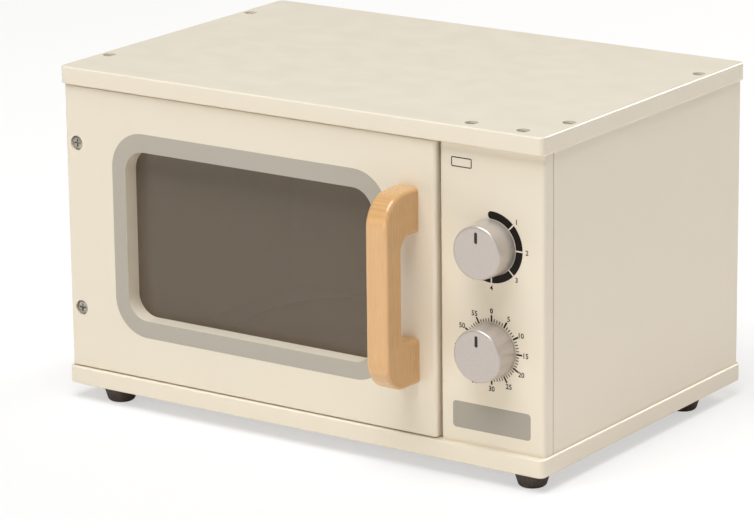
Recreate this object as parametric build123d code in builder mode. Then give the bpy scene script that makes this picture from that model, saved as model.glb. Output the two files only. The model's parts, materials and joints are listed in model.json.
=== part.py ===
from build123d import *
import os

# A toy microwave oven: a painted wooden cabinet with a hinged door and its
# beech handle, two dials on a front panel, and a turntable in the oven.
# Millimetres, +Z up, the front faces -Y. The origin is on the floor, under the
# middle of the bounding box, which runs from the handle's face to the back.

os.makedirs("parts", exist_ok=True)

# Driving dimensions of the cabinet
width = 300.0
depth = 198.0
board = 9.5
panel = 9.0
oven_height = 154.6
foot_height = 8.5
side_inset = 1.5
back_inset = 2.9
back_thickness = 5.0
rebate_width = 5.0
back_panel_chamfer = 0.4
fitting_gap = 0.2
door_inset = 1.8
fascia_inset = 4.0
fascia_thickness = 8.0
seam = 0.8
seam_edge = 0.3
fascia_gap = 1.3
board_corner = 3.7
board_edge = 0.95
panel_corner = 2.0
panel_edge = 0.6

# Driving dimensions of the door, its window and its handle
door_right = 86.0
door_gap_below = 0.5
door_gap_above = 0.6
cut_left = -108.9
cut_right = 48.3
cut_bottom = 50.2
cut_top = 141.7
cut_radius = 12.2
pane_lap = 9.6
pane_thickness = 2.5
handle_x = 69.5
handle_z = 96.3
handle_length = 101.6
handle_width = 13.0
handle_reach = 28.4
bar_thickness = 14.1
post_height = 23.3
handle_bend = 17.0
grip_bend = 7.0
handle_edge = 2.2

# Driving dimensions of the two hinges
hinge_z = (51.0, 141.1)
leaf_half_height = 14.0
leaf_thickness = 0.8
leaf_inner_x = -139.7
door_leaf_inner_x = -137.0
knuckle_radius = 1.5
knuckle_half_height = 4.8
knuckle_gap = 0.2
pin_radius = 0.75
pin_head_radius = 1.4
pin_head_height = 0.8
running_clearance = 0.05

# Driving dimensions of the dials
dial_x = 117.7
power_z = 122.1
time_z = 69.3
knob_height = 13.5
knob_lift = 0.5
knob_face_radius = 13.6
knob_foot_radius = 14.3
index_width = 1.8
index_length = 5.9
index_offset = 7.7
spindle_radius = 3.0
bush_radius = 5.0
bush_flange_radius = 8.0

# Driving dimensions of the turntable
table_x = -29.0
table_y = 17.5
table_radius = 70.0
table_thickness = 5.0
table_lift = 7.0
table_edge = 1.2
sleeve_radius = 5.0

# Places that follow from those
handle_overhang = handle_reach - door_inset
front = handle_overhang - (depth + handle_overhang) / 2
back = front + depth
middle_y = (front + back) / 2
base_top = foot_height + board
oven_top = base_top + oven_height
top_face = oven_top + board
side_x = width / 2 - side_inset
inner_x = side_x - panel
door_front = front + door_inset
door_back = door_front + panel
fascia_front = front + fascia_inset
fascia_back = fascia_front + fascia_thickness
body_front = fascia_back + seam
body_back = back - back_inset
fascia_left = door_right + fascia_gap
partition_x = door_right
partition_left = partition_x - panel / 2
partition_right = partition_x + panel / 2
back_face = body_back - back_thickness
hinge_x = -side_x
hinge_y = (door_back + body_front) / 2
oven_mid_z = (base_top + oven_top) / 2

FRONTWARD = (0, -1, 0)
BACKWARD = (0, 1, 0)
LEFTWARD = (-1, 0, 0)
UPWARD = (0, 0, 1)
DOWNWARD = (0, 0, -1)

# Screw sizes: head radius, head height, shank radius, length from the head's top
BOARD_SCREW = (3.2, 2.0, 1.7, 24.0)
BACK_SCREW = (2.4, 1.8, 1.3, 16.0)
DOOR_SCREW = (3.75, 1.8, 1.6, 8.1)
HANDLE_SCREW = (3.2, 2.0, 1.7, 20.0)
LEAF_SCREW = (1.7, 0.8, 0.9, 10.0)
PANE_SCREW = (2.2, 1.2, 1.0, 8.0)
STRIKE_SCREW = (1.9, 1.0, 1.0, 7.0)
CATCH_SCREW = (2.4, 1.6, 1.2, 14.5)
FOOT_SCREW = (2.8, 1.6, 1.5, 12.6)
TABLE_SCREW = (6.5, 2.0, 2.0, 19.6)

# How far each kind of head is sunk below its face, and how deep its thread bites
board_screw_sink = 0.9
back_screw_sink = 0.4
door_screw_sink = 0.8
flush = 0.1
board_pilot = 18.0
back_pilot = 12.0
leaf_pilot = 10.0
handle_pilot = 12.0
pane_pilot = 6.0
strike_pilot = 6.5
catch_pilot = 7.0
foot_pilot = 7.0
table_pilot = 8.0


def facing(direction, points):
    """Planes at the points, whose local +Z looks along the direction."""
    return [Plane(origin=point, z_dir=direction) for point in points]


def slotted_screw(size):
    """A cross-slot screw with a domed head, its top at the origin, pointing along -Z."""
    head_radius, head_height, shank_radius, length = size
    with BuildPart() as screw:
        with BuildSketch(Plane.XZ):
            with BuildLine():
                Line((0, -length), (0, 0))
                Line((0, 0), (0.45 * head_radius, 0))
                Spline(
                    (0.45 * head_radius, 0),
                    (head_radius, -0.6 * head_height),
                    tangents=((1, 0), (0, -1)),
                )
                Polyline(
                    (head_radius, -0.6 * head_height),
                    (head_radius, -head_height),
                    (shank_radius, -head_height),
                    (shank_radius, shank_radius - length),
                    (0, -length),
                )
            make_face()
        revolve(axis=Axis.Z)
        with BuildSketch():
            Rectangle(1.1 * head_radius, 0.22 * head_radius)
            Rectangle(0.22 * head_radius, 1.1 * head_radius)
        extrude(amount=-0.55 * head_height, mode=Mode.SUBTRACT)
    return screw.part


def flat_screw(size):
    """A countersunk cross-slot screw, its flat top at the origin, pointing along -Z."""
    head_radius, head_height, shank_radius, length = size
    with BuildPart() as screw:
        with BuildSketch(Plane.XZ):
            with BuildLine():
                Polyline(
                    (0, 0),
                    (head_radius, 0),
                    (shank_radius, -head_height),
                    (shank_radius, shank_radius - length),
                    (0, -length),
                    (0, 0),
                )
            make_face()
        revolve(axis=Axis.Z)
        with BuildSketch():
            Rectangle(1.2 * head_radius, 0.24 * head_radius)
            Rectangle(0.24 * head_radius, 1.2 * head_radius)
        extrude(amount=-0.5 * head_height, mode=Mode.SUBTRACT)
    return screw.part


def screw_group(screw, direction, points):
    """The same screw at every point, its head looking along the direction."""
    with BuildPart() as group:
        with Locations(*facing(direction, points)):
            add(screw)
    return group.part


def drill(direction, points, radius, length):
    """Blind holes that start at the points and run against the direction."""
    with Locations(*facing(direction, points)):
        Hole(radius, depth=length)


def drill_for_head(direction, points, size, sink, length):
    """Stepped holes that take a screw's head below the face at the points."""
    head_radius, head_height, shank_radius = size[:3]
    with Locations(*facing(direction, points)):
        CounterBoreHole(shank_radius, head_radius + fitting_gap, head_height + sink, depth=length)


def countersink(direction, points, size):
    """Conical seats that take a flat screw's head flush with the face at the points."""
    with Locations(*facing(direction, points)):
        Cone(
            size[2],
            size[0],
            size[1],
            align=(Align.CENTER, Align.CENTER, Align.MAX),
            mode=Mode.SUBTRACT,
        )


def save(part, label):
    """Label the sub-part and write it as its own STEP file."""
    part.label = label
    export_step(part, f"parts/{label}.step")


# Screw places on the top and base boards
row_x = 143.6
row_front_y = -51.2
row_back_y = 74.7
fascia_screw_y = -76.6
top_screw_xy = [
    (-row_x, row_front_y),
    (-row_x, row_back_y),
    (row_x, row_front_y),
    (row_x, row_back_y),
    (103.2, fascia_screw_y),
    (133.2, fascia_screw_y),
]
base_row_y = (-46.0, 92.0)
partition_screw_y = (-40.0, 80.0)
base_screw_xy = [
    (-row_x, base_row_y[0]),
    (-row_x, base_row_y[1]),
    (row_x, base_row_y[0]),
    (row_x, base_row_y[1]),
    (100.0, -78.0),
    (122.0, -78.0),
    (partition_x, partition_screw_y[0]),
    (partition_x, partition_screw_y[1]),
]
top_screw_points = [(x, y, top_face) for x, y in top_screw_xy]
base_screw_points = [(x, y, foot_height) for x, y in base_screw_xy]
foot_left_x = -124.0
foot_right_x = 136.5
foot_front_y = -73.6
foot_back_y = 74.3
foot_places = {
    "foot_front_left": (foot_left_x, foot_front_y),
    "foot_front_right": (foot_right_x, foot_front_y),
    "foot_back_left": (foot_left_x, foot_back_y),
    "foot_back_right": (foot_right_x, foot_back_y),
}
dowel_y = (-35.0, 75.0)
dowel_radius = 3.0
dowel_length = 17.0
dowel_in_board = 5.0
dowel_chamfer = 0.6
back_screw_z = (45.0, 145.0)
back_edge_x = 141.5
back_screw_x = (-back_edge_x, partition_x, back_edge_x)
back_screw_points = [(x, body_back, z) for x in back_screw_x for z in back_screw_z]
leaf_screw_x = -142.8
leaf_screw_offset = 9.5
leaf_screw_points = [
    (leaf_screw_x, body_front - leaf_thickness, z + side * leaf_screw_offset)
    for z in hinge_z
    for side in (-1, 1)
]
door_screw_x = -141.0
boss_radius = 2.75
boss_length = 5.0
handle_screw_z = (
    handle_z - handle_length / 2 + post_height / 2,
    handle_z + handle_length / 2 - post_height / 2,
)
catch_screw_y = -57.0
catch_screw_z = (oven_mid_z - 7.0, oven_mid_z + 7.0)
strike_x = 76.5
strike_z = (oven_mid_z - 7.0, oven_mid_z + 7.0)


def end_board(bottom):
    """A top or base board with rounded corners and softened edges."""
    with BuildPart() as slab:
        with BuildSketch(Plane.XY.offset(bottom)):
            with Locations((0, middle_y)):
                RectangleRounded(width, depth, board_corner)
        extrude(amount=board)
        fillet(slab.edges().group_by(Axis.Z)[0], board_edge)
        fillet(slab.edges().group_by(Axis.Z)[-1], board_edge)
    return slab.part


# Top board, with six sunk screws and two dowel sockets underneath
with BuildPart() as top_board:
    add(end_board(oven_top))
    drill_for_head(UPWARD, top_screw_points, BOARD_SCREW, board_screw_sink, board)
    drill(DOWNWARD, [(partition_x, y, oven_top) for y in dowel_y], dowel_radius, dowel_in_board)
save(top_board.part, "top_board")

# Base board, screwed from below into the walls, with holes for the feet and the turntable
with BuildPart() as base_board:
    add(end_board(foot_height))
    drill_for_head(DOWNWARD, base_screw_points, BOARD_SCREW, board_screw_sink, board)
    drill(DOWNWARD, [(x, y, foot_height) for x, y in foot_places.values()], FOOT_SCREW[2], foot_pilot)
    drill(UPWARD, [(table_x, table_y, base_top)], TABLE_SCREW[2], table_pilot)
save(base_board.part, "base_board")


# Side panels, with a rebate for the back panel along their inner back edge
def side_panel(side):
    """A side wall; side is -1 for the left one, which carries the hinges, and 1 for the right."""
    outer_front = panel_corner if side < 0 else seam_edge
    with BuildPart() as wall:
        with BuildSketch(Plane.XY.offset(base_top)):
            with BuildLine():
                Polyline(
                    (side * side_x, body_front),
                    (side * inner_x, body_front),
                    (side * inner_x, back_face),
                    (side * (inner_x + rebate_width), back_face),
                    (side * (inner_x + rebate_width), body_back),
                    (side * side_x, body_back),
                    (side * side_x, body_front),
                )
            make_face()
        extrude(amount=oven_height)
        outer = wall.edges().filter_by(Axis.Z).sort_by(Axis.X)
        outer = outer[:2] if side < 0 else outer[-2:]
        fillet(outer.sort_by(Axis.Y)[0], outer_front)
        fillet(wall.edges().filter_by(Axis.Z).sort_by(Axis.Y)[-1:], panel_edge)
        top_points = [(side * row_x, y, oven_top) for y in (row_front_y, row_back_y)]
        base_points = [(side * row_x, y, base_top) for y in base_row_y]
        back_points = [(side * back_edge_x, back_face, z) for z in back_screw_z]
        drill(UPWARD, top_points, BOARD_SCREW[2], board_pilot)
        drill(DOWNWARD, base_points, BOARD_SCREW[2], board_pilot)
        drill(BACKWARD, back_points, BACK_SCREW[2], back_pilot)
    return wall.part


with BuildPart() as left_side_panel:
    add(side_panel(-1))
    drill(FRONTWARD, [(x, body_front, z) for x, y, z in leaf_screw_points], LEAF_SCREW[2], leaf_pilot)
save(left_side_panel.part, "left_side_panel")

with BuildPart() as right_side_panel:
    add(side_panel(1))
save(right_side_panel.part, "right_side_panel")

# Partition between the oven and the dial compartment
with BuildPart() as partition_panel:
    with BuildSketch(Plane.XY.offset(base_top)):
        with Locations((partition_x, (body_front + back_face) / 2)):
            Rectangle(panel, back_face - body_front)
    extrude(amount=oven_height)
    chamfer(partition_panel.edges().filter_by(Axis.Z).group_by(Axis.Y)[0], panel_edge)
    drill(UPWARD, [(partition_x, y, oven_top) for y in dowel_y], dowel_radius, dowel_length - dowel_in_board)
    drill(DOWNWARD, [(partition_x, y, base_top) for y in partition_screw_y], BOARD_SCREW[2], board_pilot)
    drill(BACKWARD, [(partition_x, back_face, z) for z in back_screw_z], BACK_SCREW[2], back_pilot)
    drill(LEFTWARD, [(partition_left, catch_screw_y, z) for z in catch_screw_z], CATCH_SCREW[2], catch_pilot)
save(partition_panel.part, "partition_panel")

with BuildPart() as partition_dowels:
    with BuildSketch(Plane.XY.offset(oven_top + dowel_in_board)):
        with Locations(*[(partition_x, y) for y in dowel_y]):
            Circle(dowel_radius)
    extrude(amount=-dowel_length)
    chamfer(partition_dowels.faces().filter_by(Axis.Z).edges(), dowel_chamfer)
save(partition_dowels.part, "partition_dowels")

# Back panel, let into the side panels' rebates
with BuildPart() as back_panel:
    with BuildSketch(Plane.XY.offset(base_top + fitting_gap)):
        with Locations((0, back_face + back_thickness / 2)):
            Rectangle(2 * (inner_x + rebate_width - fitting_gap), back_thickness)
    extrude(amount=oven_height - 2 * fitting_gap)
    chamfer(back_panel.faces().sort_by(Axis.Y)[-1].edges(), back_panel_chamfer)
    drill_for_head(BACKWARD, back_screw_points, BACK_SCREW, back_screw_sink, back_thickness)
save(back_panel.part, "back_panel")

# Front panel that carries the dials
with BuildPart() as control_panel:
    with BuildSketch(Plane.XY.offset(base_top)):
        with Locations(((fascia_left + side_x) / 2, (fascia_front + fascia_back) / 2)):
            Rectangle(side_x - fascia_left, fascia_thickness)
    extrude(amount=oven_height)
    fillet(control_panel.edges().filter_by(Axis.Z).group_by(Axis.Y)[0], panel_corner)
    drill(UPWARD, [(x, y, oven_top) for x, y in top_screw_xy[4:]], BOARD_SCREW[2], board_pilot)
    drill(DOWNWARD, [(x, y, base_top) for x, y in base_screw_xy[4:6]], BOARD_SCREW[2], board_pilot)
    drill(BACKWARD, [(dial_x, fascia_back, z) for z in (power_z, time_z)], bush_radius, fascia_thickness)
save(control_panel.part, "control_panel")

# Screws of the cabinet, one node for each kind
board_screw = slotted_screw(BOARD_SCREW)
save(
    screw_group(board_screw, UPWARD, [(x, y, top_face - board_screw_sink) for x, y in top_screw_xy]),
    "top_board_screws",
)
save(
    screw_group(board_screw, DOWNWARD, [(x, y, foot_height + board_screw_sink) for x, y in base_screw_xy]),
    "base_board_screws",
)
save(
    screw_group(
        slotted_screw(BACK_SCREW), BACKWARD, [(x, y - back_screw_sink, z) for x, y, z in back_screw_points]
    ),
    "back_panel_screws",
)

# Feet: tapered rubber cups, each held by one screw from below
foot_top_radius = 9.5
foot_bottom_radius = 6.9
foot_rounding = 2.3
foot_recess_radius = 3.0
foot_recess_depth = 4.5
for foot_name, (foot_x, foot_y) in foot_places.items():
    with BuildPart() as foot:
        with BuildSketch():
            with Locations((foot_x, foot_y)):
                Circle(foot_bottom_radius)
        with BuildSketch(Plane.XY.offset(foot_height)):
            with Locations((foot_x, foot_y)):
                Circle(foot_top_radius)
        loft()
        fillet(foot.edges().group_by(Axis.Z)[0], foot_rounding)
        with Locations(*facing(DOWNWARD, [(foot_x, foot_y, 0)])):
            CounterBoreHole(FOOT_SCREW[2], foot_recess_radius, foot_recess_depth, depth=foot_height)
    save(foot.part, foot_name)

foot_screw_top = foot_recess_depth - FOOT_SCREW[1]
save(
    screw_group(
        slotted_screw(FOOT_SCREW), DOWNWARD, [(x, y, foot_screw_top) for x, y in foot_places.values()]
    ),
    "foot_screws",
)

# Door: one board with a round-cornered window, swinging on its left edge
door_bottom = base_top + door_gap_below
door_top = oven_top - door_gap_above
door_mid_x = (door_right - side_x) / 2
door_mid_z = (door_bottom + door_top) / 2
cut_mid_x = (cut_left + cut_right) / 2
cut_mid_z = (cut_bottom + cut_top) / 2
cut_width = cut_right - cut_left
cut_height = cut_top - cut_bottom
pane_width = cut_width + 2 * pane_lap
pane_height = cut_height + 2 * pane_lap
pane_hold_inset = 4.5
pane_hold_spread = 0.82
pane_hold_x = pane_width / 2 - pane_hold_inset
pane_hold_z = pane_height / 2 - pane_hold_inset
pane_back = door_back + pane_thickness
pane_screw_points = [
    (cut_mid_x + column * pane_hold_x, pane_back - flush, cut_mid_z + row * pane_hold_z)
    for column in (-pane_hold_spread, 0, pane_hold_spread)
    for row in (-1, 1)
] + [(cut_mid_x + column * pane_hold_x, pane_back - flush, cut_mid_z) for column in (-1, 1)]
door_screw_points = [(door_screw_x, door_front, z) for z in hinge_z]
handle_screw_points = [(handle_x, door_back, z) for z in handle_screw_z]

with BuildPart() as door_panel:
    with BuildSketch(Plane.XZ.offset(-door_back)):
        with Locations((door_mid_x, door_mid_z)):
            Rectangle(door_right + side_x, door_top - door_bottom)
        with Locations((cut_mid_x, cut_mid_z)):
            RectangleRounded(cut_width, cut_height, cut_radius, mode=Mode.SUBTRACT)
    extrude(amount=panel)
    upright = door_panel.edges().filter_by(Axis.Z)
    fillet(upright.group_by(Axis.X)[0] + upright.group_by(Axis.X)[-1], panel_corner)
    fillet(door_panel.faces().sort_by(Axis.Z)[0].edges(), panel_edge)
    fillet(door_panel.faces().sort_by(Axis.Z)[-1].edges(), panel_edge)
    drill_for_head(FRONTWARD, door_screw_points, DOOR_SCREW, door_screw_sink, panel)
    drill(BACKWARD, [(door_screw_x, door_back, z) for z in hinge_z], boss_radius, boss_length + fitting_gap)
    drill_for_head(BACKWARD, handle_screw_points, HANDLE_SCREW, flush, panel)
    drill(BACKWARD, [(x, door_back, z) for x, y, z in pane_screw_points], PANE_SCREW[2], pane_pilot)
    drill(BACKWARD, [(strike_x, door_back, z) for z in strike_z], STRIKE_SCREW[2], strike_pilot)
save(door_panel.part, "door_panel")

# Tinted window, screwed flat on the door's back
with BuildPart() as window_pane:
    with BuildSketch(Plane.XZ.offset(-pane_back)):
        with Locations((cut_mid_x, cut_mid_z)):
            RectangleRounded(pane_width, pane_height, cut_radius)
    extrude(amount=pane_thickness)
    drill_for_head(
        BACKWARD, [(x, pane_back, z) for x, y, z in pane_screw_points], PANE_SCREW, flush, pane_thickness
    )
save(window_pane.part, "window_pane")
save(screw_group(slotted_screw(PANE_SCREW), BACKWARD, pane_screw_points), "window_screws")

# Handle: a bracket-shaped beech bar on two posts
bar_front = door_front - handle_reach
bar_back = bar_front + bar_thickness
handle_bottom = handle_z - handle_length / 2
handle_top = handle_z + handle_length / 2
grip_bottom = handle_bottom + post_height
grip_top = handle_top - post_height
with BuildPart() as door_handle:
    with BuildSketch(Plane.YZ.offset(handle_x)) as handle_outline:
        with BuildLine():
            Polyline(
                (door_front, handle_bottom),
                (bar_front, handle_bottom),
                (bar_front, handle_top),
                (door_front, handle_top),
                (door_front, grip_top),
                (bar_back, grip_top),
                (bar_back, grip_bottom),
                (door_front, grip_bottom),
                (door_front, handle_bottom),
            )
        make_face()
        fillet(handle_outline.vertices().group_by(Axis.X)[1], grip_bend)
        fillet(handle_outline.vertices().group_by(Axis.X)[0], handle_bend)
    extrude(amount=handle_width / 2, both=True)
    flanks = door_handle.faces().filter_by(Axis.X).edges()
    fillet(flanks.filter_by(lambda edge: edge.center().Y < door_front - 0.01), handle_edge)
    drill(BACKWARD, [(handle_x, door_front, z) for z in handle_screw_z], HANDLE_SCREW[2], handle_pilot)
save(door_handle.part, "door_handle")
save(
    screw_group(
        slotted_screw(HANDLE_SCREW), BACKWARD, [(x, y - flush, z) for x, y, z in handle_screw_points]
    ),
    "handle_screws",
)


# Hinges: a fixed leaf on the left wall's front edge and a door leaf behind the door
def knuckle(bottom, top, bore):
    """One knuckle of a hinge, from bottom to top, around the hinge axis."""
    with BuildPart() as ring:
        with BuildSketch(Plane.XY.offset(bottom)):
            with Locations((hinge_x, hinge_y)):
                Circle(knuckle_radius)
                Circle(bore, mode=Mode.SUBTRACT)
        extrude(amount=top - bottom)
    return ring.part


def leaf_plate(near, far, left, right, bottom, top):
    """A flat piece of leaf between two depths, two sides and two heights."""
    with BuildPart() as plate:
        with BuildSketch(Plane.XY.offset(bottom)):
            with Locations(((left + right) / 2, (near + far) / 2)):
                Rectangle(right - left, far - near)
        extrude(amount=top - bottom)
    return plate.part


leaf_outer_x = hinge_x + knuckle_radius + fitting_gap
axis_points = [(hinge_x, hinge_y)]
for level, z in zip(("lower", "upper"), hinge_z):
    bottom = z - leaf_half_height
    top = z + leaf_half_height
    ring_spans = (
        (bottom, z - knuckle_half_height - knuckle_gap),
        (z + knuckle_half_height + knuckle_gap, top),
    )

    with BuildPart() as frame_leaf:
        plate_front = body_front - leaf_thickness
        add(leaf_plate(plate_front, body_front, leaf_outer_x, leaf_inner_x, bottom, top))
        for low, high in ring_spans:
            add(leaf_plate(plate_front, body_front, hinge_x, leaf_outer_x, low, high))
            add(knuckle(low, high, pin_radius))
        with BuildSketch(Plane.XY.offset(bottom)):
            with Locations(*axis_points):
                Circle(pin_radius)
        extrude(amount=top - bottom, mode=Mode.SUBTRACT)
        countersink(
            FRONTWARD,
            [(leaf_screw_x, plate_front, z + side * leaf_screw_offset) for side in (-1, 1)],
            LEAF_SCREW,
        )
    save(frame_leaf.part, f"{level}_hinge_frame_leaf")

    with BuildPart() as door_leaf:
        low = z - knuckle_half_height
        high = z + knuckle_half_height
        plate_back = door_back + leaf_thickness
        add(leaf_plate(door_back, plate_back, leaf_outer_x, door_leaf_inner_x, bottom, top))
        add(leaf_plate(door_back, plate_back, hinge_x, leaf_outer_x, low, high))
        add(knuckle(low, high, pin_radius + running_clearance))
        with BuildSketch(Plane.XY.offset(low)):
            with Locations(*axis_points):
                Circle(pin_radius + running_clearance)
        extrude(amount=high - low, mode=Mode.SUBTRACT)
        with BuildSketch(Plane.XZ.offset(-door_back)):
            with Locations((door_screw_x, z)):
                Circle(boss_radius)
        extrude(amount=boss_length)
        with BuildSketch(Plane.XZ.offset(-plate_back)):
            with Locations((door_screw_x, z)):
                Circle(DOOR_SCREW[2])
        extrude(amount=boss_length + leaf_thickness, mode=Mode.SUBTRACT)
    save(door_leaf.part, f"{level}_hinge_door_leaf")

    with BuildPart() as hinge_pin:
        with BuildSketch(Plane.XY.offset(bottom - pin_head_height)):
            with Locations(*axis_points):
                Circle(pin_radius)
        extrude(amount=top - bottom + pin_head_height)
        with BuildSketch(Plane.XY.offset(bottom - pin_head_height)):
            with Locations(*axis_points):
                Circle(pin_head_radius)
        extrude(amount=pin_head_height)
    save(hinge_pin.part, f"{level}_hinge_pin")

save(screw_group(flat_screw(LEAF_SCREW), FRONTWARD, leaf_screw_points), "hinge_leaf_screws")
save(
    screw_group(
        slotted_screw(DOOR_SCREW),
        FRONTWARD,
        [(x, y + door_screw_sink, z) for x, y, z in door_screw_points],
    ),
    "door_hinge_screws",
)

# Door catch: a magnet in a block on the partition, and a steel plate on the door
strike_width = 10.0
strike_height = 22.0
strike_thickness = STRIKE_SCREW[1]
strike_corner = 1.5
catch_height = 22.0
catch_depth = 21.0
catch_chamfer = 0.8
magnet_width = 6.0
magnet_height = 16.0
magnet_depth = 8.0
magnet_proud = 0.8
strike_back = door_back + strike_thickness
strike_screw_points = [(strike_x, strike_back, z) for z in strike_z]
magnet_front = strike_back + running_clearance
catch_front = magnet_front + magnet_proud
catch_x = partition_left - strike_width / 2

with BuildPart() as strike_plate:
    with BuildSketch(Plane.XZ.offset(-strike_back)):
        with Locations((strike_x, oven_mid_z)):
            RectangleRounded(strike_width, strike_height, strike_corner)
    extrude(amount=strike_thickness)
    countersink(BACKWARD, strike_screw_points, STRIKE_SCREW)
save(strike_plate.part, "strike_plate")
save(screw_group(flat_screw(STRIKE_SCREW), BACKWARD, strike_screw_points), "strike_screws")

with BuildPart() as catch_housing:
    with BuildSketch(Plane.XY.offset(oven_mid_z - catch_height / 2)):
        with Locations((catch_x, catch_front + catch_depth / 2)):
            Rectangle(strike_width, catch_depth)
    extrude(amount=catch_height)
    chamfer(catch_housing.faces().sort_by(Axis.X)[0].edges(), catch_chamfer)
    with BuildSketch(Plane.XZ.offset(-catch_front)):
        with Locations((catch_x, oven_mid_z)):
            Rectangle(magnet_width, magnet_height)
    extrude(amount=-(magnet_depth - magnet_proud), mode=Mode.SUBTRACT)
    drill_for_head(
        LEFTWARD,
        [(catch_x - strike_width / 2, catch_screw_y, z) for z in catch_screw_z],
        CATCH_SCREW,
        flush,
        strike_width,
    )
save(catch_housing.part, "catch_housing")

with BuildPart() as catch_magnet:
    with BuildSketch(Plane.XZ.offset(-magnet_front)):
        with Locations((catch_x, oven_mid_z)):
            Rectangle(magnet_width, magnet_height)
    extrude(amount=-magnet_depth)
save(catch_magnet.part, "catch_magnet")
save(
    screw_group(
        slotted_screw(CATCH_SCREW),
        LEFTWARD,
        [(catch_x - strike_width / 2 + flush, catch_screw_y, z) for z in catch_screw_z],
    ),
    "catch_screws",
)

# Soft stops for the door on the partition's front edge
bumper_radius = 2.0
bumper_edge = 0.5
bumper_x = door_right - 3.0
bumper_from_board = 14.0
bumper_z = (base_top + bumper_from_board, oven_top - bumper_from_board)
with BuildPart() as door_bumpers:
    with BuildSketch(Plane.XZ.offset(-body_front)):
        with Locations(*[(bumper_x, z) for z in bumper_z]):
            Circle(bumper_radius)
    extrude(amount=body_front - door_back - flush)
    fillet(door_bumpers.faces().group_by(Axis.Y)[0].edges(), bumper_edge)
save(door_bumpers.part, "door_bumpers")


# Dials: knob, dark index, spindle, bush, friction washer and clamping collar
spindle_reach = 14.0
spindle_end = fascia_back + spindle_reach
knob_back = fascia_front - knob_lift
knob_face = knob_back - knob_height
boss_outer = 5.6
knob_wall = 2.0
knob_cap = 3.0
knob_face_edge = 1.3
knob_foot_edge = 0.3
flat_depth = 0.7
flat_length = 8.0
index_depth = 1.2
index_sink = 0.25
bush_flange = 1.2
washer_radius = 7.5
washer_thickness = 0.8
washer_front = fascia_back + bush_flange + running_clearance
collar_front = washer_front + washer_thickness
collar_radius = 7.0
collar_length = 6.0
collar_chamfer = 0.6
grub_radius = 1.5
grub_sink = 0.6
grub_socket = 1.6


def knob_spindle(z):
    """A round spindle whose front end has a flat for the knob."""
    with BuildPart() as spindle:
        with BuildSketch(Plane.XZ.offset(-spindle_end)):
            with Locations((dial_x, z)):
                Circle(spindle_radius)
        extrude(amount=spindle_end - knob_face - knob_cap)
        with Locations((dial_x, knob_face + knob_cap, z + spindle_radius)):
            Box(
                2 * spindle_radius,
                flat_length,
                2 * flat_depth,
                align=(Align.CENTER, Align.MIN, Align.CENTER),
                mode=Mode.SUBTRACT,
            )
    return spindle.part


def index_slot(z, depth_into_face):
    """A round-ended bar standing above the dial's centre, let in from the knob's face."""
    with BuildPart() as slot:
        with BuildSketch(Plane.XZ.offset(-knob_face)):
            with Locations((dial_x, z + index_offset)):
                SlotOverall(index_length, index_width, rotation=90)
        extrude(amount=-depth_into_face)
    return slot.part


for dial, z in (("power", power_z), ("time", time_z)):
    spindle_part = knob_spindle(z)
    with BuildPart() as knob:
        with BuildSketch(Plane.XZ.offset(-knob_back)):
            with Locations((dial_x, z)):
                Circle(knob_foot_radius)
        with BuildSketch(Plane.XZ.offset(-knob_face)):
            with Locations((dial_x, z)):
                Circle(knob_face_radius)
        loft()
        fillet(knob.edges().group_by(Axis.Y)[0], knob_face_edge)
        fillet(knob.edges().group_by(Axis.Y)[-1], knob_foot_edge)
        with BuildSketch(Plane.XZ.offset(-knob_back)):
            with Locations((dial_x, z)):
                Circle(knob_face_radius - knob_wall)
                Circle(boss_outer, mode=Mode.SUBTRACT)
        extrude(amount=knob_height - knob_cap, mode=Mode.SUBTRACT)
        add(index_slot(z, index_depth), mode=Mode.SUBTRACT)
        add(spindle_part, mode=Mode.SUBTRACT)
    save(knob.part, f"{dial}_knob")

    with BuildPart() as index:
        add(index_slot(z, index_depth))
        add(index_slot(z, index_sink), mode=Mode.SUBTRACT)
    save(index.part, f"{dial}_index")
    save(spindle_part, f"{dial}_spindle")

    with BuildPart() as bush:
        with BuildSketch(Plane.XZ.offset(-fascia_back)):
            with Locations((dial_x, z)):
                Circle(bush_radius)
        extrude(amount=fascia_thickness)
        with BuildSketch(Plane.XZ.offset(-fascia_back)):
            with Locations((dial_x, z)):
                Circle(bush_flange_radius)
        extrude(amount=-bush_flange)
        with BuildSketch(Plane.XZ.offset(-fascia_front)):
            with Locations((dial_x, z)):
                Circle(spindle_radius + running_clearance)
        extrude(amount=-(fascia_thickness + bush_flange), mode=Mode.SUBTRACT)
    save(bush.part, f"{dial}_bush")

    with BuildPart() as washer:
        with BuildSketch(Plane.XZ.offset(-washer_front)):
            with Locations((dial_x, z)):
                Circle(washer_radius)
                Circle(spindle_radius, mode=Mode.SUBTRACT)
        extrude(amount=-washer_thickness)
    save(washer.part, f"{dial}_friction_washer")

    grub_y = collar_front + collar_length / 2
    with BuildPart() as collar:
        with BuildSketch(Plane.XZ.offset(-collar_front)):
            with Locations((dial_x, z)):
                Circle(collar_radius)
                Circle(spindle_radius, mode=Mode.SUBTRACT)
        extrude(amount=-collar_length)
        chamfer(collar.faces().sort_by(Axis.Y)[-1].outer_wire().edges(), collar_chamfer)
        with Locations((dial_x, grub_y, z + collar_radius)):
            Hole(grub_radius, depth=collar_radius - spindle_radius + fitting_gap)
    save(collar.part, f"{dial}_collar")

    with BuildPart() as grub_screw:
        with BuildSketch(Plane.XY.offset(z + spindle_radius)):
            with Locations((dial_x, grub_y)):
                Circle(grub_radius)
        extrude(amount=collar_radius - spindle_radius - grub_sink)
        with BuildSketch(Plane.XY.offset(z + collar_radius - grub_sink)):
            with Locations((dial_x, grub_y)):
                RegularPolygon(0.75 * grub_radius, 6)
        extrude(amount=-grub_socket, mode=Mode.SUBTRACT)
    save(grub_screw.part, f"{dial}_grub_screw")

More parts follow.
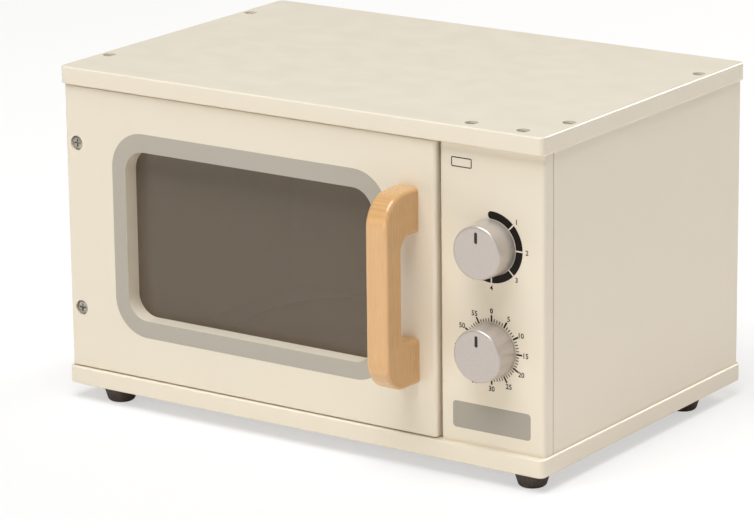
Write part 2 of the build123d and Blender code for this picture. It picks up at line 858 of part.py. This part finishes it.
# Turntable: a wooden disc on a flanged bush, kept down by one broad-headed screw
table_bottom = base_top + table_lift
table_top = table_bottom + table_thickness
table_dish_radius = 8.0
table_dish_depth = 2.5
bush_foot_radius = 12.0
sleeve_top = table_top - table_dish_depth + flush

with BuildPart() as turntable_disc:
    with BuildSketch(Plane.XY.offset(table_bottom)):
        with Locations((table_x, table_y)):
            Circle(table_radius)
    extrude(amount=table_thickness)
    fillet(turntable_disc.edges(), table_edge)
    with Locations((table_x, table_y, table_top)):
        CounterBoreHole(
            sleeve_radius + running_clearance, table_dish_radius, table_dish_depth, depth=table_thickness
        )
save(turntable_disc.part, "turntable_disc")

with BuildPart() as turntable_bush:
    with BuildSketch(Plane.XY.offset(base_top)):
        with Locations((table_x, table_y)):
            Circle(bush_foot_radius)
    extrude(amount=table_lift - flush)
    with BuildSketch(Plane.XY.offset(base_top)):
        with Locations((table_x, table_y)):
            Circle(sleeve_radius)
    extrude(amount=sleeve_top - base_top)
    with Locations((table_x, table_y, sleeve_top)):
        Hole(TABLE_SCREW[2], depth=sleeve_top - base_top)
save(turntable_bush.part, "turntable_bush")
save(
    screw_group(
        slotted_screw(TABLE_SCREW), UPWARD, [(table_x, table_y, sleeve_top + TABLE_SCREW[1])]
    ),
    "turntable_screw",
)
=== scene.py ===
import json
import math

import bpy
import numpy as np
from mathutils import Matrix, Vector


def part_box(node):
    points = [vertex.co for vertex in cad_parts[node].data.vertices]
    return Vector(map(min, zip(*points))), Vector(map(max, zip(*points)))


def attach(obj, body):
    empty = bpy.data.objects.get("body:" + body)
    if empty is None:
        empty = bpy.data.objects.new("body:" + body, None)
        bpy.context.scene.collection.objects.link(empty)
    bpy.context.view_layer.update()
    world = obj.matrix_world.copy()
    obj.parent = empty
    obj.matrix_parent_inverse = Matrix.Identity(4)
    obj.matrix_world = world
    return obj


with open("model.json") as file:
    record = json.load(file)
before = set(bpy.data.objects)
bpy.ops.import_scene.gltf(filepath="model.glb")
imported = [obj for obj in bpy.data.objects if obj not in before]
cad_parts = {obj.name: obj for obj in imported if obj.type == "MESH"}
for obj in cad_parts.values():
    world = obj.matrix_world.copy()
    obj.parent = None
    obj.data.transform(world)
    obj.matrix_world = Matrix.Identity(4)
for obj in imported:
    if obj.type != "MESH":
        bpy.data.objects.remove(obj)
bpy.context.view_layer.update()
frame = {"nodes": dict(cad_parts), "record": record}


# Cabinet boards, dial panel and door board. Each is a board 8 to 10 mm thick, routed round at its corners
# and edges, then sprayed all over with cream lacquer, which dries satin with the faintest orange peel.
def srgb(color):
    """A linear RGBA colour from 0-255 sRGB values: a straight toe, then the power 2.4."""
    part = np.asarray(color, float) / 255
    linear = np.where(part <= 0.04045, part / 12.92, ((part + 0.055) / 1.055) ** 2.4)
    return (*linear.tolist(), 1.0)


class Socket:
    """One output of a material's nodes. Plain arithmetic on it adds Math nodes."""

    def __init__(self, graph, output):
        self.graph = graph
        self.output = output

    def math(self, operation, *others):
        """The Math node of that operation, on this value and the others."""
        return self.graph.node("ShaderNodeMath", dict(operation=operation), self, *others)

    def __add__(self, other):
        return self.math("ADD", other)

    def __mul__(self, other):
        return self.math("MULTIPLY", other)

    __radd__ = __add__
    __rmul__ = __mul__

    def ramp(self, low, high, to_low=0.0, to_high=1.0):
        """Clamps the value to low and high, and turns that way smoothly into to_low and to_high."""
        settings = dict(interpolation_type="SMOOTHSTEP")
        return self.graph.node("ShaderNodeMapRange", settings, self, low, high, to_low, to_high)


class Finish:
    """A Principled material: its constants are set at once, and its nodes are added by name."""

    def __init__(self, name, color, **constants):
        """Each constant is a shader socket's title in small letters, with underscores for spaces."""
        self.material = bpy.data.materials.new(name)
        self.material.use_nodes = True
        self.tree = self.material.node_tree
        self.shader = self.tree.nodes["Principled BSDF"]
        self.shader.inputs["Base Color"].default_value = srgb(color)
        self.material.diffuse_color = srgb(color)
        for constant, value in constants.items():
            title = constant.replace("_", " ").title().replace("Ior", "IOR")
            self.shader.inputs[title].default_value = value

    def node(self, kind, settings, *inputs, output=0, **named):
        """A node of that kind with its settings, and its inputs in order or by name."""
        made = self.tree.nodes.new(kind)
        for key, value in settings.items():
            setattr(made, key, value)
        for key, value in [*enumerate(inputs), *named.items()]:
            if isinstance(value, Socket):
                self.tree.links.new(value.output, made.inputs[key])
            else:
                made.inputs[key].default_value = value
        return Socket(self, made.outputs[output])

    def place(self, stretch):
        """Object coordinates times a stretch for each axis."""
        coordinates = self.node("ShaderNodeTexCoord", {}, output="Object")
        return self.node("ShaderNodeVectorMath", dict(operation="MULTIPLY"), coordinates, stretch)

    def noise(self, scale, detail, stretch=(1, 1, 1), distortion=0.0):
        """Fractal noise over the piece, scale cells to the metre, each octave half as strong."""
        sizes = dict(Scale=scale, Detail=detail, Roughness=0.5, Distortion=distortion)
        return self.node("ShaderNodeTexNoise", {}, Vector=self.place(stretch), **sizes)

    def mix(self, amount, first, second):
        """A colour from first to second, both sRGB, as amount goes from 0 to 1."""
        made = self.tree.nodes.new("ShaderNodeMix")
        made.data_type = "RGBA"
        made.inputs[6].default_value = srgb(first)
        made.inputs[7].default_value = srgb(second)
        self.tree.links.new(amount.output, made.inputs[0])
        return Socket(self, made.outputs[2])

    def paint(self, color=None, roughness=None, height=None, distance=0.0001, strength=1.0):
        """Leads what varies into the shader: colour, roughness, and a bump distance metres high."""
        ways = {"Base Color": color, "Roughness": roughness}
        if height is not None:
            ways["Normal"] = self.node(
                "ShaderNodeBump", {}, Strength=strength, Distance=distance, Height=height
            )
        for title, value in ways.items():
            if value is not None:
                self.tree.links.new(value.output, self.shader.inputs[title])
        return self.material


def lacquer(name, color, shade):
    """Clouds of two close creams, a roughness that wanders a little, and a peel of two noises."""
    finish = Finish(name, color, roughness=0.4, coat_weight=0.5, coat_roughness=0.14, ior=1.45)
    clouds = finish.noise(scale=24.0, detail=2.0).ramp(0.2, 0.8)
    peel = finish.noise(scale=900.0, detail=1.0) + 0.6 * finish.noise(scale=260.0, detail=2.0)
    return finish.paint(
        color=finish.mix(clouds, color, shade),
        roughness=finish.noise(scale=60.0, detail=3.0).ramp(0.3, 0.7, 0.36, 0.44),
        height=peel,
        distance=0.00001,
        strength=0.2,
    )


def dress(slot, material):
    """Gives one finish to every solid that the record puts in that material slot."""
    for entry in frame["record"]["subparts"]:
        if entry["material_slot"] == slot:
            for place in frame["nodes"][entry["node"]].material_slots:
                place.material = material


dress("painted_wood", lacquer("cream_lacquer", (236, 224, 203), (235, 223, 202)))

# Back panel. Thin hardboard in a greyer cream, let into a rebate of the side walls and held by
# screws from behind.
dress("hardboard", lacquer("matt_hardboard", (222, 211, 190), (219, 208, 187)))


# Screws, hinge leaves and pins, strike plate and dial spindles. Mild steel, stamped or turned, then
# plated with zinc and passivated, which leaves a mottled satin skin. The catch's magnet is dark ferrite.
def plated_steel(name, color, shade):
    """Metal with a fine mottle of two greys; the darker spots are the rougher ones."""
    finish = Finish(name, color, roughness=0.34, metallic=1.0)
    mottle = finish.noise(scale=420.0, detail=3.0)
    return finish.paint(
        color=finish.mix(mottle.ramp(0.35, 0.65), color, shade),
        roughness=mottle.ramp(0.3, 0.7, 0.26, 0.48),
        height=finish.noise(scale=2200.0, detail=1.0),
        distance=0.00001,
        strength=0.3,
    )


dress("steel", plated_steel("zinc_plate", (190, 184, 176), (160, 154, 146)))
dress("magnet", plated_steel("dark_ferrite", (92, 92, 94), (70, 70, 72)))


# Moulded parts. Black plastic for the catch housing, the collars and the index bars, white nylon for the
# bushes, clear silicone for the door's soft stops, and dark brown rubber for the four tapered feet.
def plastic(name, color, shade, roughness, grain=1800.0, metallic=0.0, depth=0.00002):
    """A fine grain, grain cells to the metre, moves colour and roughness and is depth metres high."""
    finish = Finish(name, color, roughness=roughness, metallic=metallic)
    speck = finish.noise(scale=grain, detail=2.0)
    return finish.paint(
        color=finish.mix(speck.ramp(0.35, 0.65), color, shade),
        roughness=speck.ramp(0.3, 0.7, roughness - 0.05, roughness + 0.06),
        height=speck,
        distance=depth,
        strength=0.5,
    )


dress("dark_plastic", plastic("black_plastic", (44, 38, 34), (34, 29, 26), roughness=0.5))
dress("white_nylon", plastic("nylon", (236, 234, 228), (226, 224, 216), roughness=0.4))
dress("silicone", plastic("clear_silicone", (226, 226, 222), (214, 214, 210), roughness=0.35))
dress("foot_rubber", plastic("brown_rubber", (74, 62, 54), (62, 52, 46), roughness=0.72, grain=900.0))


# Friction washers. Discs of wool felt that are pinched between each dial's collar and its bush, so that
# the dial stays where it is turned.
def felt(name, color, shade):
    """A strongly bent fine noise stands for the fibres, in colour and in a bump of 0.2 mm."""
    finish = Finish(name, color, roughness=0.95, sheen_weight=0.3)
    fibre = finish.noise(scale=2600.0, detail=4.0, distortion=1.5)
    return finish.paint(color=finish.mix(fibre, color, shade), height=fibre, distance=0.0002)


dress("felt", felt("grey_felt", (98, 94, 90), (72, 68, 64)))


# Door handle and the dowels of the partition. Beech, sanded and clear lacquered. The handle is sawn with
# the growth rings parallel to its front, so the front is plain and the sides show straight lines. Its
# front
# is painted pale and its sides darker: painted shade on the sides that face away from the light.
def beech(name, light, dark_and_shaded, across, surface, layer):
    """Rings are a sine of the depth along the axis across, layer metres apart, bent by a slow noise.
    Long thin noise along the grain adds fibres. Deeper than a thin skin under surface, all is darker:
    painted shade that darkens the handle's sides."""
    finish = Finish(name, light, roughness=0.26, coat_weight=0.6, coat_roughness=0.08, ior=1.5)
    grain = (1.0, 1.0, 0.04) if across == "Y" else (0.04, 1.0, 1.0)
    skin = 0.0045
    bend = 0.0012 * finish.noise(scale=30.0, detail=2.0, stretch=grain)
    depth = finish.node("ShaderNodeSeparateXYZ", {}, finish.place((1, 1, 1)), output=across) + bend
    rings = 0.5 * (depth * (2 * math.pi / layer)).math("SINE") + 0.5
    fibre = finish.noise(scale=1500.0, detail=3.0, stretch=grain)
    # Painted shade: past the lit front skin the mix turns towards the dark colour, so the sides look
    # shaded.
    painted_side_shade = depth.ramp(surface, surface + skin)
    return finish.paint(
        color=finish.mix(0.55 * painted_side_shade + 0.2 * rings + 0.25 * fibre.ramp(0.3, 0.7), light, dark_and_shaded),
        roughness=fibre.ramp(0.3, 0.7, 0.24, 0.34),
        height=fibre,
        distance=0.00002,
        strength=0.2,
    )


# The pale, lit front skin is counted from half a millimetre in front of the grip; the second colour is the
# painted shade of the sides.
grip_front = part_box("door_handle")[0][1] - 0.0005
handle_wood = beech("lacquered_beech", (241, 191, 133), (199, 154, 99), "Y", grip_front, layer=0.0017)
dress("beech", handle_wood)

# Turntable. A plywood disc that turns on a nylon bush, with its layers lying flat. It is warmer than the
# handle and shows dimly through the window.
# Counted from the floor, the whole disc lies past the skin, so it takes the darker mix all over.
disc_wood = beech("turntable_ply", (222, 176, 126), (188, 140, 94), "Z", surface=0.0, layer=0.0016)
dress("turntable_wood", disc_wood)


# Window pane. A sheet of smoke-tinted acrylic, screwed flat to the door's back. It is dark and glossy,
# and clear enough to show the oven dimly.
def tinted_pane(name, color):
    """A see-through glossy sheet; a broad faint haze changes its roughness alone."""
    finish = Finish(name, color, roughness=0.16, alpha=0.55, ior=1.49, specular_ior_level=0.35)
    return finish.paint(roughness=finish.noise(scale=40.0, detail=2.0).ramp(0.35, 0.65, 0.14, 0.2))


dress("tinted_acrylic", tinted_pane("smoke_acrylic", (128, 115, 100)))


# Band round the window. A grey ring screen-printed on the door's face, from the edge of the cut-out
# outwards, with rounder corners outside than inside. The ink lies a few hundredths of a millimetre proud.
def ink(name, color, shade):
    """Flat ink with a very fine grain in its colour and roughness."""
    finish = Finish(name, color, roughness=0.55, specular_ior_level=0.2)
    grain = finish.noise(scale=2600.0, detail=2.0)
    return finish.paint(
        color=finish.mix(grain.ramp(0.25, 0.75), color, shade),
        roughness=grain.ramp(0.3, 0.7, 0.5, 0.6),
    )


def rounded(left, right, bottom, top, radius, steps=16):
    """A rounded rectangle's outline: four quarter circles, anticlockwise from the right, about centres
    that lie a radius inside the corners. The straight sides come from joining them."""
    turn = np.linspace(0, math.pi / 2, steps) + np.arange(4)[:, None] * math.pi / 2
    centre_x = np.array([right - radius, left + radius, left + radius, right - radius])[:, None]
    centre_z = np.array([top - radius, top - radius, bottom + radius, bottom + radius])[:, None]
    outline = np.stack([centre_x + radius * np.cos(turn), centre_z + radius * np.sin(turn)], axis=-1)
    return outline.reshape(-1, 2)


def band(outer, inner):
    """A closed ring: each point of the outer outline is joined to the same point of the inner one."""
    index = np.arange(len(outer))
    after = np.roll(index, -1)
    faces = np.column_stack([index, after, after + len(outer), index + len(outer)])
    return np.concatenate([outer, inner]), faces


def printed(name, shape, face_y, finish, body):
    """A flat print: every point (x, z) of a shape is set just in front of the board's face at y."""
    ink_lift = 0.00004
    points, faces = shape
    places = np.column_stack([points[:, 0], np.full(len(points), face_y - ink_lift), points[:, 1]])
    mesh = bpy.data.meshes.new(name)
    mesh.from_pydata(places.tolist(), [], [list(face) for face in faces])
    mesh.materials.append(finish)
    piece = bpy.data.objects.new(name, mesh)
    bpy.context.scene.collection.objects.link(piece)
    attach(piece, body)


pane_low, pane_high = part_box("window_pane")
pane_lap = 0.0096
cut_left, cut_right = pane_low[0] + pane_lap, pane_high[0] - pane_lap
cut_bottom, cut_top = pane_low[2] + pane_lap, pane_high[2] - pane_lap
cut_corner, band_corner = 0.0122, 0.0204
band_left, band_right, band_bottom, band_top = 0.0086, 0.0088, 0.0092, 0.0098
band_outside = rounded(
    cut_left - band_left, cut_right + band_right, cut_bottom - band_bottom, cut_top + band_top, band_corner
)
window_band = band(band_outside, rounded(cut_left, cut_right, cut_bottom, cut_top, cut_corner))
window_grey = ink("window_grey", (184, 176, 163), (183, 175, 162))
printed("window_band", window_band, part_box("door_panel")[0][1], window_grey, "door")


# Upper dial's print. A thick dark arc runs three quarters of a turn clockwise from a round start at the
# top. Thin gaps cut it into six pieces, and a number stands at each gap.
def polar(centre, radius, angle):
    """Points at a radius and angles about a centre, angles anticlockwise from the right."""
    return np.column_stack([centre[0] + radius * np.cos(angle), centre[1] + radius * np.sin(angle)])


def joined(*shapes):
    """Several shapes as one: points one after another, each shape's faces counted on from its first."""
    points, faces, start = [], [], 0
    for shape_points, shape_faces in shapes:
        points.append(shape_points)
        faces.extend((np.asarray(face) + start).tolist() for face in shape_faces)
        start += len(shape_points)
    return np.concatenate(points), faces


def arc_piece(start, end, gap_start, gap_end, steps=24):
    """A strip between two arcs from start clockwise to end. An end at a gap stops half the gap short, by
    the angle whose sine is half the gap over the radius, so that the gap's sides are parallel."""
    lines = []
    for radius in (arc_outer, arc_inner):
        half_gap = math.asin(arc_gap / 2 / radius)
        angles = np.linspace(start - half_gap * gap_start, end + half_gap * gap_end, steps)
        lines.append(polar(power_centre, radius, angles))
    index = np.arange(steps - 1)
    faces = np.column_stack([index, index + 1, index + 1 + steps, index + steps])
    return np.concatenate(lines), faces


def round_start(angle, steps=16):
    """Half a disc, as wide as the arc, that bulges back from the arc's first edge."""
    middle = polar(power_centre, (arc_inner + arc_outer) / 2, np.array([angle]))[0]
    turn = np.linspace(angle, angle + math.pi, steps)
    return polar(middle, (arc_outer - arc_inner) / 2, turn), [np.arange(steps)]


def number(text, centre, height, bold):
    """A number from the plain built-in face, its strokes widened by an offset, filled flat, scaled to its
    height and centred on a point."""
    plain_offset, bold_offset = 0.02, 0.04
    curve = bpy.data.curves.new(text, "FONT")
    curve.body = text
    curve.offset = bold_offset if bold else plain_offset
    curve.resolution_u = 4
    writer = bpy.data.objects.new(text, curve)
    mesh = bpy.data.meshes.new_from_object(writer)
    bpy.data.objects.remove(writer)
    spots = np.empty(len(mesh.vertices) * 3)
    mesh.vertices.foreach_get("co", spots)
    spots = spots.reshape(-1, 3)[:, :2]
    low, high = spots.min(0), spots.max(0)
    faces = [list(face.vertices) for face in mesh.polygons]
    bpy.data.meshes.remove(mesh)
    return (spots - (low + high) / 2) * height / (high[1] - low[1]) + centre, faces


def dial_numbers(values, step, centre, radius, height):
    """Numbers round a dial, each a step of the turn clockwise from the last, zero at the top in bold."""
    places = polar(centre, radius, top_turn - np.asarray(values) * step)
    return joined(*[number(str(value), at, height, value == 0) for value, at in zip(values, places)])


def knob_centre(node):
    """The middle of a knob's box, seen from the front."""
    low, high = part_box(node)
    return (low[0] + high[0]) / 2, (low[2] + high[2]) / 2


panel_low, panel_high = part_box("control_panel")
panel_face = panel_low[1]
dark_ink = ink("dark_ink", (27, 22, 18), (24, 19, 16))
top_turn = math.pi / 2
power_centre = knob_centre("power_knob")
arc_inner, arc_outer, arc_gap = 0.0144, 0.0183, 0.00075
arc_count = 6
mark_turn = math.pi / 4
arc_pieces = [
    arc_piece(top_turn - k * mark_turn, top_turn - (k + 1) * mark_turn, k > 0, k < arc_count - 1)
    for k in range(arc_count)
]
power_arc = joined(round_start(top_turn), *arc_pieces)
power_numbers = dial_numbers(range(1, arc_count), mark_turn, power_centre, radius=0.0208, height=0.0026)
printed("power_arc", power_arc, panel_face, dark_ink, "cabinet")
printed("power_numbers", power_numbers, panel_face, dark_ink, "cabinet")


# Lower dial's print. Sixty fine ticks stand round the knob like a clock's minutes. Every fifth is longer
# and bolder, and has its number outside it.
def radial_bars(centre, angle, inner, outer, breadth):
    """Bars as four corners each: out along the angle from the inner to the outer radius, and half the
    breadth to either side of that line."""
    along = np.column_stack([np.cos(angle), np.sin(angle)])
    aside = np.column_stack([-along[:, 1], along[:, 0]]) * breadth[:, None] / 2
    near, far = along * inner, along * outer[:, None]
    corners = np.stack([near - aside, far - aside, far + aside, near + aside], axis=1) + centre
    return corners.reshape(-1, 2), np.arange(4 * len(angle)).reshape(-1, 4)


minute = np.arange(60)
minute_turn = 2 * math.pi / 60
is_fifth = minute % 5 == 0
tick_start = 0.0145
long_end, short_end = 0.018, 0.0162
bold_breadth, fine_breadth = 0.00095, 0.0005
time_centre = knob_centre("time_knob")
time_ticks = radial_bars(
    time_centre,
    top_turn - minute * minute_turn,
    tick_start,
    np.where(is_fifth, long_end, short_end),
    np.where(is_fifth, bold_breadth, fine_breadth),
)
time_numbers = dial_numbers(range(0, 60, 5), minute_turn, time_centre, radius=0.0201, height=0.0027)
printed("time_ticks", time_ticks, panel_face, dark_ink, "cabinet")
printed("time_numbers", time_numbers, panel_face, dark_ink, "cabinet")

# Small outlined box and grey plate. Two more prints on the dial panel: a thin dark outline near its top
# left corner, and a plain grey rounded plate across its foot.
box_width, box_height, box_line = 0.0121, 0.0051, 0.00055
box_corner, box_inner_corner = 0.0009, 0.0004
box_left, box_top = panel_low[0] + 0.007, panel_high[2] - 0.0074
box_right, box_bottom = box_left + box_width, box_top - box_height
box_outside = rounded(box_left, box_right, box_bottom, box_top, box_corner, steps=6)
box_inside = rounded(
    box_left + box_line,
    box_right - box_line,
    box_bottom + box_line,
    box_top - box_line,
    box_inner_corner,
    steps=6,
)
printed("label_outline", band(box_outside, box_inside), panel_face, dark_ink, "cabinet")

plate_width, plate_height, plate_corner = 0.046, 0.0138, 0.002
plate_left, plate_bottom = panel_low[0] + 0.0073, panel_low[2] + 0.0078
plate_right, plate_top = plate_left + plate_width, plate_bottom + plate_height
plate_outline = rounded(plate_left, plate_right, plate_bottom, plate_top, plate_corner)
plate = plate_outline, [np.arange(len(plate_outline))]
plate_grey = ink("plate_grey", (172, 165, 152), (171, 164, 151))
printed("grey_plate", plate, panel_face, plate_grey, "cabinet")

# Dial knobs. Moulded plastic, sprayed with a satin silver paint whose flakes give a fine grain. Each is
# pushed on its spindle and held by a grub screw.
satin = dict(roughness=0.32, grain=3000.0, metallic=0.45, depth=0.00001)
dress("knob_plastic", plastic("silver_satin", (204, 194, 186), (193, 183, 175), **satin))

# Floor. A wide sheet of pale card, matt, that keeps the soft shadow of the cabinet and fades to white for
# the camera.
floor_reach = 12.0
whitening = 0.55
corners = [(-floor_reach, -floor_reach, 0), (floor_reach, -floor_reach, 0),
           (floor_reach, floor_reach, 0), (-floor_reach, floor_reach, 0)]
card = Finish("studio_floor", (244, 240, 236), roughness=0.9, specular_ior_level=0.0)
white_glow = card.node("ShaderNodeEmission", {}, (1.0, 1.0, 1.0, 1.0), 1.0)
seen = whitening * card.node("ShaderNodeLightPath", {}, output="Is Camera Ray")
surface = card.node("ShaderNodeMixShader", {}, seen, Socket(card, card.shader.outputs[0]), white_glow)
card.tree.links.new(surface.output, card.tree.nodes["Material Output"].inputs["Surface"])
floor_mesh = bpy.data.meshes.new("floor")
floor_mesh.from_pydata(corners, [], [(0, 1, 2, 3)])
floor_mesh.materials.append(card.material)
floor = bpy.data.objects.new("floor", floor_mesh)
bpy.context.scene.collection.objects.link(floor)

# Backdrop and fill light. The room is plain white to the camera, and a faint even fill for everything
# else.
room = bpy.data.worlds.new("studio")
room.use_nodes = True
bpy.context.scene.world = room
fill = room.node_tree.nodes["Background"]
backdrop = room.node_tree.nodes.new("ShaderNodeBackground")
for background, strength in ((fill, 0.13), (backdrop, 1.0)):
    background.inputs["Color"].default_value = (1.0, 1.0, 1.0, 1.0)
    background.inputs["Strength"].default_value = strength
to_camera = room.node_tree.nodes.new("ShaderNodeLightPath").outputs["Is Camera Ray"]
chosen = room.node_tree.nodes.new("ShaderNodeMixShader")
for output, socket in zip((to_camera, fill.outputs[0], backdrop.outputs[0]), chosen.inputs):
    room.node_tree.links.new(output, socket)
room.node_tree.links.new(chosen.outputs[0], room.node_tree.nodes["World Output"].inputs["Surface"])


# Lamps. Four square softboxes: a large one overhead and a little in front, a weak low one before the
# door, a weak one at the right, and a small one behind that draws bright lines on the right-hand edges.
def softbox(name, place, size, power, color):
    """A square lamp, size metres wide, that looks at the middle of the cabinet."""
    cabinet_middle = Vector((0, 0, 0.09))
    light = bpy.data.lights.new(name, "AREA")
    light.shape = "SQUARE"
    light.size = size
    light.energy = power
    light.color = color
    lamp = bpy.data.objects.new(name, light)
    lamp.location = place
    lamp.rotation_euler = (cabinet_middle - Vector(place)).to_track_quat("-Z", "Y").to_euler()
    bpy.context.scene.collection.objects.link(lamp)


softbox("overhead", (0.0, -1.0, 2.9), size=2.2, power=99.0, color=(0.955, 1.0, 1.05))
softbox("front", (0.3, -3.5, 1.0), size=2.0, power=18.0, color=(1.0, 0.97, 0.82))
softbox("right", (3.6, -0.3, 1.3), size=2.2, power=5.5, color=(1.0, 0.9, 1.0))
softbox("rim", (0.66, 2.64, 1.8), size=0.8, power=42.0, color=(1.0, 0.99, 0.97))

# Camera. A long lens in front and to the right, a little above the cabinet, and turned by a fraction of a
# degree about its axis. The lens is given by the photograph's width and focal length in pixels.
view_azimuth = math.radians(34.88)
view_elevation = math.radians(15.63)
view_roll = math.radians(-0.65)
eye = Vector((1.1198, -1.6175, 0.6290))
image_width = 754
focal_pixels = 3873.2
backward = Vector((
    math.sin(view_azimuth) * math.cos(view_elevation),
    -math.cos(view_azimuth) * math.cos(view_elevation),
    math.sin(view_elevation),
))
level_right = (-backward).cross(Vector((0, 0, 1))).normalized()
level_up = level_right.cross(-backward)
right = level_right * math.cos(view_roll) + level_up * math.sin(view_roll)
up = level_up * math.cos(view_roll) - level_right * math.sin(view_roll)
lens = bpy.data.cameras.new("camera")
lens.sensor_width = 36.0
lens.lens = focal_pixels / image_width * lens.sensor_width
lens.clip_end = 50.0
camera = bpy.data.objects.new("camera", lens)
camera.matrix_world = Matrix.Translation(eye) @ Matrix((right, up, backward)).transposed().to_4x4()
bpy.context.scene.collection.objects.link(camera)
bpy.context.scene.camera = camera
bpy.context.scene.view_settings.view_transform = "Standard"
